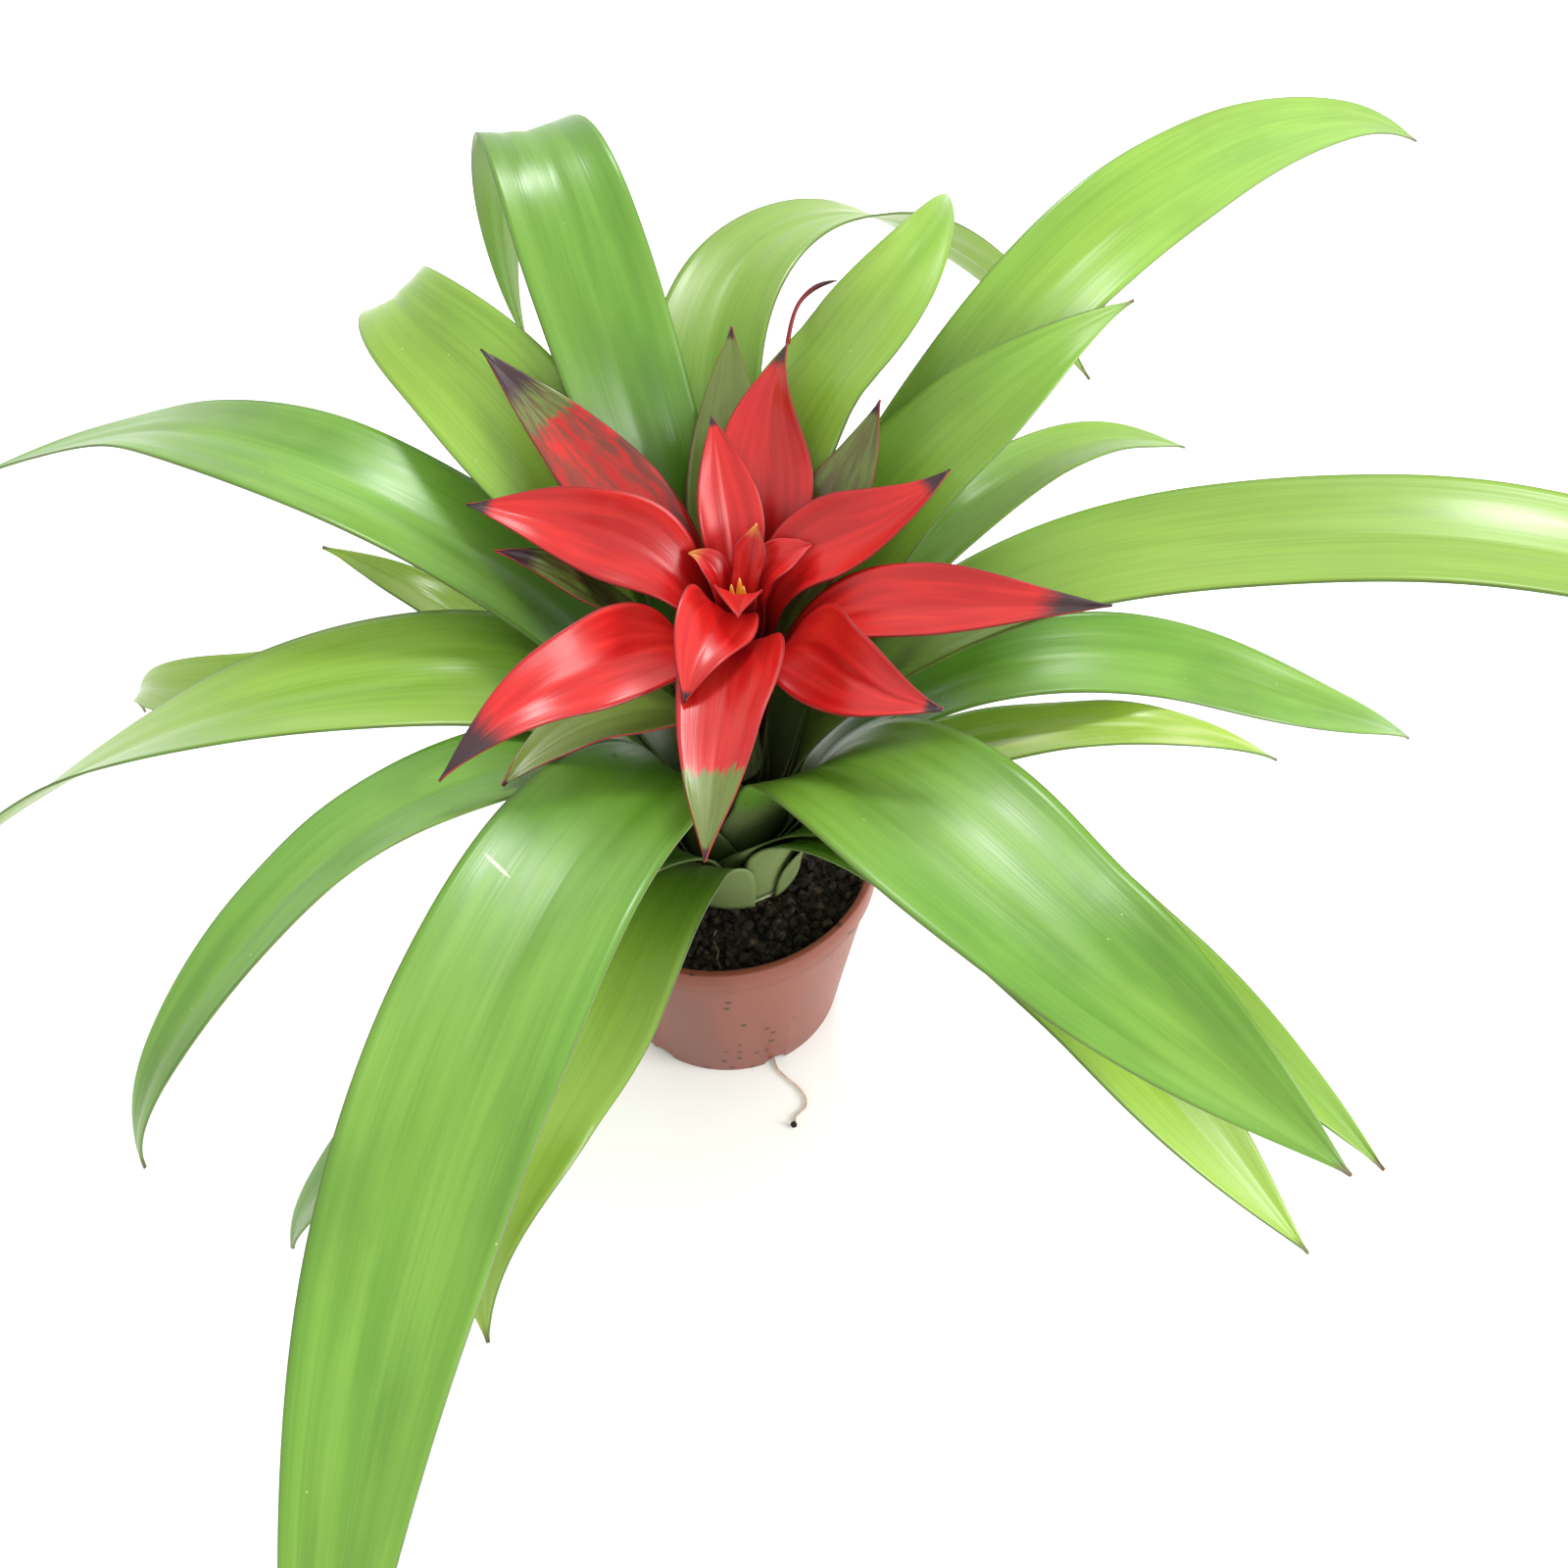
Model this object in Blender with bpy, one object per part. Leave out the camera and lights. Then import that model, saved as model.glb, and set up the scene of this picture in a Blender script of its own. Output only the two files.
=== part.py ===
"""Potted bromeliad: a rosette of strap leaves round a red flower head, in a thin plastic pot.

Metres, +Z up. The origin is the middle of the pot's flat base. The front of the plant faces -Y.
"""

import math
from dataclasses import dataclass

import bmesh
import bpy
from mathutils import Matrix, Vector, noise

# ---- Driving dimensions, in metres and degrees --------------------------------------------------

CLEARANCE = 0.0003  # gap between pieces that touch
MERGE_DISTANCE = 1e-6

POT_HEIGHT = 0.070
POT_RIM_RADIUS = 0.045
POT_BASE_RADIUS = 0.034
POT_WALL = 0.0010
POT_FLOOR = 0.0012
RIM_BAND_HEIGHT = 0.009
RIM_BAND_STEP = 0.0010  # how far the rim band stands proud of the wall
POT_SIDES = 40

DRAIN_NOTCHES = 6
DRAIN_NOTCH_RADIUS = 0.0035
DRAIN_NOTCH_DEPTH = 0.0105
DRAIN_NOTCH_SIDES = 12
DRAIN_NOTCH_HEADING = 294  # the notch that the loose root grows out of

SOIL_DROP = 0.007  # from the rim down to the soil
SOIL_LUMP = 0.0012  # height of the lumps
SOIL_LUMP_SPACING = 0.006
SOIL_RINGS = 5

CROWN_OFFSET = 0.003  # the plant stands a little to the right of the pot's middle
CROWN_RISE = 0.003  # from the soil up to the lowest sheath
LEAN = 3.5  # of the whole plant, towards +X
FOOT_RADIUS = 0.009
FOOT_DEPTH = 0.012  # of the stem in the soil

SHEATH_HALF_ANGLE = 33  # a sheath wraps this far each way round the stem
SHEATH_SPACING = 70  # sheaths closer than this round the stem lie in different rings
SHEATH_SHARE = 0.1  # share of a blade's length that wraps the stem fully
FREE_SHARE = 0.4  # and where it has opened to its own cup
WIDEST_SHARE = 0.5
TIP_FULLNESS = 1.8  # higher keeps a blade wide for longer
TIP_POINT = 1.1  # higher draws its tip out finer
MIDRIB_STEPS = 48
ACROSS = 4  # facets across a blade

STALK_RADIUS = 0.0023  # the flower stalk, up through the middle of the rosette
STEM_SIDES = 20
HEAD_RISE = 0.041  # from the lowest sheath up to the lowest bract

BUD_RADIUS = 0.0012
BUD_LENGTH = 0.010
BUD_COUNT = 3
BUD_HEADING = 80
BUD_TAPER = 0.35  # how much narrower the tip of a bud is
BUD_SHOULDER = -0.2  # where the taper starts, from -1 at the foot to 1 at the tip

ROOT_RADIUS = 0.0004
THREAD_RADIUS = 0.00025
CRUMB_RADIUS = 0.0011

# ---- Colours ------------------------------------------------------------------------------------

POT_COLOUR = (0.42, 0.17, 0.11)
PEAT_COLOUR = (0.030, 0.020, 0.013)
PEAT_ROUGHNESS = 0.95
STEM_COLOUR = (0.20, 0.30, 0.10)
BUD_COLOUR = (0.80, 0.45, 0.05)
ROOT_COLOUR = (0.45, 0.30, 0.18)


@dataclass(frozen=True)
class Blade:
    """One leaf or bract. Length and width in millimetres, angles in degrees from base to tip."""

    name: str
    heading: float
    length: float
    width: float
    arch: tuple  # slope of the midrib above the horizontal
    turn: tuple  # swing of the heading to the left, at two thirds and at the tip
    twist: tuple  # roll about the midrib, at two thirds and at the tip


@dataclass(frozen=True)
class Rosette:
    """What the blades of one rosette share. Lengths in metres."""

    core: float  # radius inside the innermost sheath
    step: float  # rise of each ring of sheaths above the one outside it
    thickness: float
    stations: int  # facets along a blade
    cup: float  # how far the edges of a blade turn up, degrees
    base_share: float  # width at the base as a share of the widest
    colour: tuple
    tints: dict  # blades of another colour
    roughness: float
    blades: tuple


LEAVES = Rosette(
    core=0.0060,
    step=0.0016,
    thickness=0.0006,
    stations=16,
    cup=15,
    base_share=0.85,
    colour=(0.13, 0.34, 0.04),
    tints={
        "leaf_right_pale": (0.42, 0.50, 0.16),
        "leaf_front_cup": (0.22, 0.42, 0.05),
        "leaf_front_right_low": (0.26, 0.44, 0.05),
        "leaf_left_low": (0.34, 0.44, 0.07),
        "leaf_right_wedge": (0.06, 0.20, 0.03),
        "leaf_left_droop": (0.08, 0.25, 0.03),
        "leaf_right_upper": (0.22, 0.48, 0.09),
        "leaf_back_arch": (0.20, 0.44, 0.08),
        "leaf_right_pointed": (0.18, 0.42, 0.07),
    },
    roughness=0.4,
    blades=(
        Blade("leaf_right_pale", 348, 159, 23, (90, 65, 53, 36, 23, 12, -10, -29), (6, 7), (-13, 4)),
        Blade("leaf_front_cup", 238, 179, 53, (90, 66, 24, -21, -36, -33, -30, -28), (6, 47), (-37, 51)),
        Blade("leaf_front_right_low", 311, 220, 38, (90, 64, 42, 11, -10, -20, -31, -40), (0, 17), (-9, 18)),
        Blade("leaf_front_left_low", 230, 205, 36, (90, 60, 35, 1, -21, -37, -51, -80), (6, -42), (70, -16)),
        Blade("leaf_right_under", 316, 218, 34, (90, 64, 44, 15, -5, -13, -19, -25), (7, 2), (-10, 2)),
        Blade("leaf_left_low", 172, 217, 29, (90, 55, 25, -3, -14, -17, -36, -77), (1, -58), (3, -55)),
        Blade("leaf_right_lower", 2, 232, 25, (90, 63, 43, 15, -10, -24, -30, -45), (-5, 28), (16, 21)),
        Blade("leaf_left_small", 165, 140, 23, (90, 69, 52, 28, 14, 13, 5, -2), (-18, -11), (22, -7)),
        Blade("leaf_right_wedge", 354, 78, 24, (90, 82, 77, 72, 64, 52, 38, 24), (-4, -6), (-5, -5)),
        Blade("leaf_left_droop", 218, 243, 28, (90, 68, 46, 23, 14, -14, -48, -90), (16, -1), (25, 9)),
        Blade("leaf_right_small", 32, 208, 26, (90, 77, 64, 35, 11, -8, -25, -33), (7, -1), (-14, 10)),
        Blade("leaf_front_right_big", 301, 237, 49, (90, 70, 62, 21, 1, -3, -19, -33), (11, 32), (1, 44)),
        Blade("leaf_left_middle", 191, 249, 43, (90, 71, 44, 6, -11, -24, -34, -41), (-5, 0), (18, 46)),
        Blade("leaf_front_big", 244, 327, 40, (90, 66, 28, -3, -8, -13, -19, -27), (16, 31), (-4, 24)),
        Blade("leaf_left_upper", 165, 303, 36, (90, 66, 42, 17, -8, -28, -30, -31), (-19, 6), (7, 20)),
        Blade("leaf_right_long", 352, 359, 34, (90, 69, 45, 27, 23, 8, -7, -25), (-25, 0), (8, 3)),
        Blade("leaf_right_upper", 41, 365, 28, (90, 69, 48, 30, 2, -10, -17, -33), (6, -5), (37, 42)),
        Blade("leaf_right_pointed", 41, 183, 33, (90, 79, 70, 58, 50, 39, 25, 5), (-18, -8), (13, 78)),
        Blade("leaf_back_arch", 100, 304, 30, (90, 70, 51, 26, 0, -26, -41, -47), (-71, -122), (-18, -109)),
        Blade("leaf_left_folded", 146, 235, 36, (90, 75, 62, 40, 26, -3, -50, -80), (-10, -96), (-41, -20)),
        Blade("leaf_back_left_arch", 121, 295, 33, (90, 71, 56, 47, 30, -37, -85, -111), (-13, 23), (-2, 8)),
        Blade("leaf_back_wide", 85, 194, 33, (90, 76, 71, 60, 50, 48, 17, -32), (-60, 1), (3, 50)),
    ),
)

BRACTS = Rosette(
    core=0.0029,
    step=0.0080,
    thickness=0.0004,
    stations=8,
    cup=28,
    base_share=0.6,
    colour=(0.60, 0.03, 0.02),
    tints={
        "bract_green_left": (0.28, 0.36, 0.10),
        "bract_brown_left": (0.20, 0.13, 0.04),
        "bract_green_back": (0.05, 0.12, 0.03),
        "bract_olive_back": (0.17, 0.11, 0.05),
        "bract_back_tall": (0.42, 0.05, 0.04),
        "bract_inner_back": (0.62, 0.14, 0.04),
    },
    roughness=0.35,
    blades=(
        Blade("bract_green_left", 223, 98, 22, (90, 76, 62, 43, 25, 15, 7, 0), (-2, 16), (-3, -5)),
        Blade("bract_brown_left", 174, 85, 18, (90, 65, 63, 54, 46, 47, 33, 5), (3, 5), (22, -42)),
        Blade("bract_green_back", 90, 113, 29, (90, 82, 72, 59, 49, 44, 40, 38), (8, -4), (-17, 1)),
        Blade("bract_olive_back", 44, 97, 26, (90, 79, 71, 64, 59, 55, 56, 56), (-5, 18), (5, -5)),
        Blade("bract_front_left", 228, 121, 24, (90, 76, 68, 35, 17, 4, -10, -19), (-7, 1), (-43, 18)),
        Blade("bract_back_tall", 73, 98, 31, (90, 71, 72, 66, 59, 48, 38, 29), (20, -10), (-6, -46)),
        Blade("bract_right", 342, 120, 22, (90, 78, 64, 41, 25, 21, 22, 22), (-6, -5), (27, 12)),
        Blade("bract_back_left", 144, 117, 24, (90, 82, 62, 45, 34, 29, 24, 17), (-1, -7), (-22, -11)),
        Blade("bract_front_right", 311, 88, 27, (90, 74, 68, 44, 21, 11, 13, 17), (-10, 27), (56, 4)),
        Blade("bract_front", 268, 104, 26, (90, 74, 51, 23, 5, -7, -11, -13), (-7, -2), (24, 2)),
        Blade("bract_right_upper", 43, 87, 26, (90, 83, 77, 51, 34, 37, 37, 30), (-58, -8), (36, -15)),
        Blade("bract_left", 157, 94, 26, (90, 81, 69, 49, 27, 13, 5, -4), (22, 9), (-57, -9)),
        Blade("bract_back", 95, 66, 21, (90, 80, 73, 63, 54, 47, 40, 34), (12, 8), (-3, -3)),
        Blade("bract_front_cup", 256, 67, 24, (90, 81, 71, 53, 28, 7, -13, -33), (-4, 0), (-25, 2)),
        Blade("bract_inner_right", 56, 37, 18, (90, 70, 79, 80, 65, 45, 23, 3), (-39, -44), (6, 34)),
        Blade("bract_inner_left", 133, 32, 15, (90, 83, 81, 80, 76, 60, 28, -8), (-7, 42), (19, -42)),
        Blade("bract_inner_front", 265, 46, 15, (90, 82, 76, 63, 49, 34, 23, 13), (3, 7), (-5, -2)),
        Blade("bract_inner_back", 75, 28, 14, (90, 82, 78, 74, 68, 61, 55, 50), (-6, -4), (-2, -5)),
    ),
)

# The loose root's middle line: distance out from the foot of the wall at its drain notch, and
# distance aside, to the left when looking outwards.
ROOT_ROUTE = (
    (-0.0038, 0.0000),
    (-0.0004, -0.0002),
    (0.0031, -0.0007),
    (0.0080, 0.0008),
    (0.0122, 0.0024),
    (0.0164, 0.0027),
    (0.0190, 0.0008),
    (0.0198, -0.0022),
    (0.0214, -0.0035),
)

# The fine root that lies on the soil: x and y of its middle line, in rim radii.
THREAD_ROUTE = (
    (-0.027, -0.582),
    (-0.049, -0.653),
    (-0.013, -0.733),
    (-0.024, -0.804),
    (0.004, -0.862),
)


# ---- Worked out from the driving dimensions -----------------------------------------------------

BAND_FOOT = POT_HEIGHT - RIM_BAND_HEIGHT
NECK_RADIUS = POT_RIM_RADIUS - RIM_BAND_STEP
SOIL_TOP = POT_HEIGHT - SOIL_DROP
CROWN_HEIGHT = SOIL_TOP + CROWN_RISE
BORE_FOOT = SOIL_TOP - FOOT_DEPTH - 2 * CLEARANCE  # foot of the stem's hole in the soil
SOIL_EDGE = NECK_RADIUS - POT_WALL - CLEARANCE
MILLIMETRE = 0.001


def wall_radius(height):
    """Outer radius of the pot's tapered wall, below the rim band."""
    share = min(height, BAND_FOOT) / BAND_FOOT
    return POT_BASE_RADIUS + (NECK_RADIUS - POT_BASE_RADIUS) * share


def inner_radius(height):
    """Inner radius of the pot."""
    return wall_radius(height) - POT_WALL


def along(angles, share):
    """Angle at a share of the way along evenly spaced angles."""
    place = share * (len(angles) - 1)
    index = min(int(place), len(angles) - 2)
    return angles[index] + (angles[index + 1] - angles[index]) * (place - index)


def beyond_sheath(angles):
    """Angles from base to tip of a blade that runs straight for its first third."""
    return (0, 0, *angles)


def ease(low, high, value):
    """Smooth step from 0 at low to 1 at high."""
    share = min(max((value - low) / (high - low), 0), 1)
    return share * share * (3 - 2 * share)


def rings_of(blades):
    """Ring of each sheath, 0 outermost: a sheath lies inside every earlier one that it would meet."""
    rings = []
    for blade in blades:
        below = [
            ring
            for other, ring in zip(blades, rings)
            if abs((other.heading - blade.heading + 180) % 360 - 180) < SHEATH_SPACING
        ]
        rings.append(max(below) + 1 if below else 0)
    return rings


def sheath_sag(radius):
    """How far the flat facets of a wrapped sheath cut inside its circle."""
    return radius * (1 - math.cos(math.radians(SHEATH_HALF_ANGLE * 2 / ACROSS / 2)))


def ring_pitch(rosette, count):
    """Radial distance between two rings of sheaths."""
    wide = rosette.core + count * (rosette.thickness + 2 * CLEARANCE)
    return rosette.thickness + sheath_sag(wide) + CLEARANCE


def ring_place(rosette, ring, count):
    """Radius and height of the foot of a sheath in a ring."""
    radius = rosette.core + (count - ring - 0.5) * ring_pitch(rosette, count)
    return radius, rosette.step * ring


def seat_radius(rosette, ring, count):
    """Radius of the stem just under the foot of a sheath in a ring."""
    radius = ring_place(rosette, ring, count)[0]
    return radius - rosette.thickness / 2 - sheath_sag(radius) - CLEARANCE


# ---- Making objects -----------------------------------------------------------------------------


def clear_scene():
    for thing in list(bpy.data.objects):
        bpy.data.objects.remove(thing, do_unlink=True)


def material(name, colour, roughness):
    made = bpy.data.materials.new(name)
    made.use_nodes = True
    shader = made.node_tree.nodes["Principled BSDF"]
    shader.inputs["Base Color"].default_value = (*colour, 1)
    shader.inputs["Roughness"].default_value = roughness
    return made


def add_object(name, bm, finish=None, sharp=35):
    mesh = bpy.data.meshes.new(name)
    bm.to_mesh(mesh)
    bm.free()
    if finish:
        mesh.materials.append(finish)
        mesh.shade_smooth()
        mesh.set_sharp_from_angle(angle=math.radians(sharp))
    made = bpy.data.objects.new(name, mesh)
    bpy.context.scene.collection.objects.link(made)
    return made


def turned(profile, sides):
    """A closed body turned from (radius, height) points that start and end on the axis."""
    bm = bmesh.new()
    verts = [bm.verts.new((radius, 0, height)) for radius, height in profile]
    edges = [bm.edges.new(pair) for pair in zip(verts, verts[1:])]
    bmesh.ops.spin(
        bm,
        geom=verts + edges,
        cent=(0, 0, 0),
        axis=(0, 0, 1),
        angle=math.tau,
        steps=sides,
        use_merge=True,
    )
    bmesh.ops.remove_doubles(bm, verts=bm.verts, dist=MERGE_DISTANCE)
    bmesh.ops.recalc_face_normals(bm, faces=bm.faces)
    return bm


def smooth_route(points, per_span):
    """Points along a smooth curve through the given ones."""
    ends = [points[0] * 2 - points[1]] + list(points) + [points[-1] * 2 - points[-2]]
    route = []
    for a, b, c, d in zip(ends, ends[1:], ends[2:], ends[3:]):
        speed = c - a
        swing = a * 2 - b * 5 + c * 4 - d
        ease_out = b * 3 - a - c * 3 + d
        for step in range(per_span):
            t = step / per_span
            route.append(b + (speed * t + swing * t**2 + ease_out * t**3) / 2)
    route.append(points[-1].copy())
    return route


def tube(name, points, radius):
    """A round thread along points."""
    curve = bpy.data.curves.new(name, "CURVE")
    curve.dimensions = "3D"
    curve.bevel_depth = radius
    curve.bevel_resolution = 1
    curve.use_fill_caps = True
    spline = curve.splines.new("POLY")
    spline.points.add(len(points) - 1)
    for spot, point in zip(spline.points, points):
        spot.co = (*point, 1)
    curve.materials.append(material(name, ROOT_COLOUR, 0.8))
    made = bpy.data.objects.new(name, curve)
    bpy.context.scene.collection.objects.link(made)
    return made


# ---- Pot and soil -------------------------------------------------------------------------------


def make_pot():
    profile = (
        (0, 0),
        (POT_BASE_RADIUS, 0),
        (wall_radius(BAND_FOOT), BAND_FOOT),
        (POT_RIM_RADIUS, BAND_FOOT),
        (POT_RIM_RADIUS, POT_HEIGHT),
        (NECK_RADIUS - POT_WALL, POT_HEIGHT),
        (inner_radius(BAND_FOOT), BAND_FOOT),
        (inner_radius(POT_FLOOR), POT_FLOOR),
        (0, POT_FLOOR),
    )
    pot = add_object("pot", turned(profile, POT_SIDES), material("pot", POT_COLOUR, 0.5))
    cutter = add_object("drain_notch_cutter", notch_cutters())
    cutter.hide_render = True
    cutter.display_type = "WIRE"
    cut = pot.modifiers.new("Drain notches", "BOOLEAN")
    cut.object = cutter
    cut.operation = "DIFFERENCE"
    cut.solver = "EXACT"


def notch_cutters():
    """Rods lying radially across the foot of the wall, one for each drain notch."""
    bm = bmesh.new()
    for number in range(DRAIN_NOTCHES):
        heading = math.radians(DRAIN_NOTCH_HEADING + 360 / DRAIN_NOTCHES * number)
        place = (
            Matrix.Rotation(heading, 4, "Z")
            @ Matrix.Translation((POT_BASE_RADIUS, 0, 0))
            @ Matrix.Rotation(math.radians(90), 4, "Y")
        )
        bmesh.ops.create_cone(
            bm,
            cap_ends=True,
            segments=DRAIN_NOTCH_SIDES,
            radius1=DRAIN_NOTCH_RADIUS,
            radius2=DRAIN_NOTCH_RADIUS,
            depth=DRAIN_NOTCH_DEPTH,
            matrix=place,
        )
    return bm


def soil_height(x, y):
    spot = Vector((x, y, 0)) / SOIL_LUMP_SPACING
    return SOIL_TOP + SOIL_LUMP * noise.noise(spot)


def stem_bore():
    """Radius of the hole in the soil that the leaning stem stands in."""
    return FOOT_RADIUS + FOOT_DEPTH * math.tan(math.radians(LEAN)) + CLEARANCE


def crown_share(point):
    """How far a point of the soil moves with the stem's hole, which stands off the pot's middle."""
    if point.z < BORE_FOOT - CLEARANCE:
        return 0
    reach = math.hypot(point.x, point.y)
    return 1 - min(max((reach - stem_bore()) / (SOIL_EDGE - stem_bore()), 0), 1)


def make_soil():
    bore = stem_bore()
    low = POT_FLOOR + CLEARANCE
    profile = [(0, low), (inner_radius(low) - CLEARANCE, low), (SOIL_EDGE, BAND_FOOT)]
    for ring in range(SOIL_RINGS + 1):
        profile.append((SOIL_EDGE + (bore - SOIL_EDGE) * ring / SOIL_RINGS, SOIL_TOP))
    profile += [(bore, BORE_FOOT), (0, BORE_FOOT)]
    bm = turned(profile, POT_SIDES)
    for vert in bm.verts:
        vert.co.x += CROWN_OFFSET * crown_share(vert.co)
        if vert.co.z > SOIL_TOP - CLEARANCE:
            vert.co.z = soil_height(vert.co.x, vert.co.y)
    add_object("soil", bm, material("soil", PEAT_COLOUR, PEAT_ROUGHNESS), sharp=60)


# ---- The plant ----------------------------------------------------------------------------------


def make_plant_empty():
    """Everything that grows hangs on this empty, which stands at the crown and leans with it."""
    empty = bpy.data.objects.new("plant", None)
    empty.location = (CROWN_OFFSET, 0, CROWN_HEIGHT)
    empty.rotation_euler = (0, math.radians(LEAN), 0)
    bpy.context.scene.collection.objects.link(empty)
    return empty


def half_width(blade, rosette, share, reach):
    """Half the width of a blade, which narrows where its sheath wraps the stem, and at its tip."""
    if share < WIDEST_SHARE:
        part = rosette.base_share + (1 - rosette.base_share) * ease(0, WIDEST_SHARE, share)
    else:
        beyond = (share - WIDEST_SHARE) / (1 - WIDEST_SHARE)
        part = (1 - beyond**TIP_FULLNESS) ** TIP_POINT
    free = max(blade.width / 2 * MILLIMETRE * part, rosette.thickness)
    wrapped = reach * math.radians(SHEATH_HALF_ANGLE)
    return (free**-4 + wrapped**-4) ** -0.25


def blade_spine(blade, foot_radius, foot_height):
    """Midrib points from base to tip, each with its tangent's slope and heading in radians."""
    start = math.radians(blade.heading)
    point = Vector((foot_radius * math.cos(start), foot_radius * math.sin(start), foot_height))
    stride = blade.length * MILLIMETRE / MIDRIB_STEPS
    turn = beyond_sheath(blade.turn)
    spine = []
    for step in range(MIDRIB_STEPS + 1):
        share = step / MIDRIB_STEPS
        slope = math.radians(along(blade.arch, share))
        heading = math.radians(blade.heading + along(turn, share))
        spine.append((point.copy(), slope, heading))
        middle = min(share + 0.5 / MIDRIB_STEPS, 1)
        slope = math.radians(along(blade.arch, middle))
        heading = math.radians(blade.heading + along(turn, middle))
        flat = math.cos(slope)
        point += Vector((flat * math.cos(heading), flat * math.sin(heading), math.sin(slope))) * stride
    return spine


def blade_point(blade, rosette, spine, across, share):
    """A point on a blade's middle surface: across runs from -1 to 1, share from base to tip."""
    middle, slope, heading = spine[round(share * MIDRIB_STEPS)]
    flat = math.cos(slope)
    tangent = Vector((flat * math.cos(heading), flat * math.sin(heading), math.sin(slope)))
    level = Vector((-math.sin(heading), math.cos(heading), 0))
    roll = Matrix.Rotation(math.radians(along(beyond_sheath(blade.twist), share)), 3, tangent)
    side = roll @ level
    upper = roll @ tangent.cross(level)
    reach = math.hypot(middle.x, middle.y)
    inward = Vector((-middle.x, -middle.y, 0)) / reach
    wrap = 1 - ease(SHEATH_SHARE, FREE_SHARE, share)
    curl = (upper * (1 - wrap) + inward * wrap).normalized()
    half = half_width(blade, rosette, share, reach)
    bend = wrap * half / reach + (1 - wrap) * math.radians(rosette.cup)
    radius = half / bend
    angle = across * bend
    return middle + side * (radius * math.sin(angle)) + curl * (radius * (1 - math.cos(angle)))


def make_blade(blade, rosette, ring, count, base_height, plant):
    foot_radius, foot_rise = ring_place(rosette, ring, count)
    spine = blade_spine(blade, foot_radius, base_height + foot_rise)
    bm = bmesh.new()
    bmesh.ops.create_grid(bm, x_segments=ACROSS, y_segments=rosette.stations, size=1)
    for vert in bm.verts:
        vert.co = blade_point(blade, rosette, spine, -vert.co.x, (vert.co.y + 1) / 2)
    finish = material(blade.name, rosette.tints.get(blade.name, rosette.colour), rosette.roughness)
    made = add_object(blade.name, bm, finish, sharp=70)
    made.parent = plant
    skin = made.modifiers.new("Thickness", "SOLIDIFY")
    skin.thickness = rosette.thickness
    skin.offset = 0


def make_rosette(rosette, base_height, plant):
    rings = rings_of(rosette.blades)
    count = max(rings) + 1
    for blade, ring in zip(rosette.blades, rings):
        make_blade(blade, rosette, ring, count, base_height, plant)


def stem_profile():
    """Foot in the soil, a cone that the leaves sit on, the stalk, and a cone that the bracts sit on."""
    leaf_count = max(rings_of(LEAVES.blades)) + 1
    bract_count = max(rings_of(BRACTS.blades)) + 1
    leaf_top = LEAVES.step * (leaf_count - 1)
    bract_top = HEAD_RISE + BRACTS.step * (bract_count - 1)
    leaf_seat = seat_radius(LEAVES, leaf_count - 1, leaf_count)
    bract_seat = seat_radius(BRACTS, bract_count - 1, bract_count)
    return (
        (0, -FOOT_DEPTH),
        (FOOT_RADIUS, -FOOT_DEPTH),
        (FOOT_RADIUS, -CROWN_RISE / 2),
        (seat_radius(LEAVES, 0, leaf_count), 0),
        (leaf_seat, leaf_top),
        (STALK_RADIUS, leaf_top + leaf_seat),
        (STALK_RADIUS, HEAD_RISE - BRACTS.step),
        (seat_radius(BRACTS, 0, bract_count), HEAD_RISE),
        (bract_seat, bract_top),
        (bract_seat, bract_top + BRACTS.step / 2),
        (0, bract_top + BRACTS.step / 2),
    )


def make_stem(plant):
    finish = material("stem", STEM_COLOUR, 0.6)
    stem = add_object("stem", turned(stem_profile(), STEM_SIDES), finish)
    stem.parent = plant


def make_buds(plant):
    """Slender flower buds, side by side on top of the stem."""
    stem_top = stem_profile()[-1][1]
    offset = (BUD_RADIUS + CLEARANCE / 2) / math.sin(math.pi / BUD_COUNT) + CLEARANCE / 2
    for number in range(BUD_COUNT):
        heading = math.radians(BUD_HEADING + 360 / BUD_COUNT * number)
        bm = bmesh.new()
        bmesh.ops.create_uvsphere(bm, u_segments=8, v_segments=6, radius=1)
        for vert in bm.verts:
            taper = 1 - BUD_TAPER * ease(BUD_SHOULDER, 1, vert.co.z)
            vert.co = Vector((
                offset * math.cos(heading) + vert.co.x * BUD_RADIUS * taper,
                offset * math.sin(heading) + vert.co.y * BUD_RADIUS * taper,
                stem_top + CLEARANCE + (vert.co.z + 1) * BUD_LENGTH / 2,
            ))
        name = f"flower_bud_{number + 1}"
        bud = add_object(name, bm, material(name, BUD_COLOUR, 0.45))
        bud.parent = plant


# ---- Loose roots --------------------------------------------------------------------------------


def root_spot(out, aside, height):
    """A point of the loose root, which leaves the pot by a drain notch."""
    heading = Matrix.Rotation(math.radians(DRAIN_NOTCH_HEADING), 4, "Z")
    return heading @ Vector((POT_BASE_RADIUS + out, aside, height))


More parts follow.
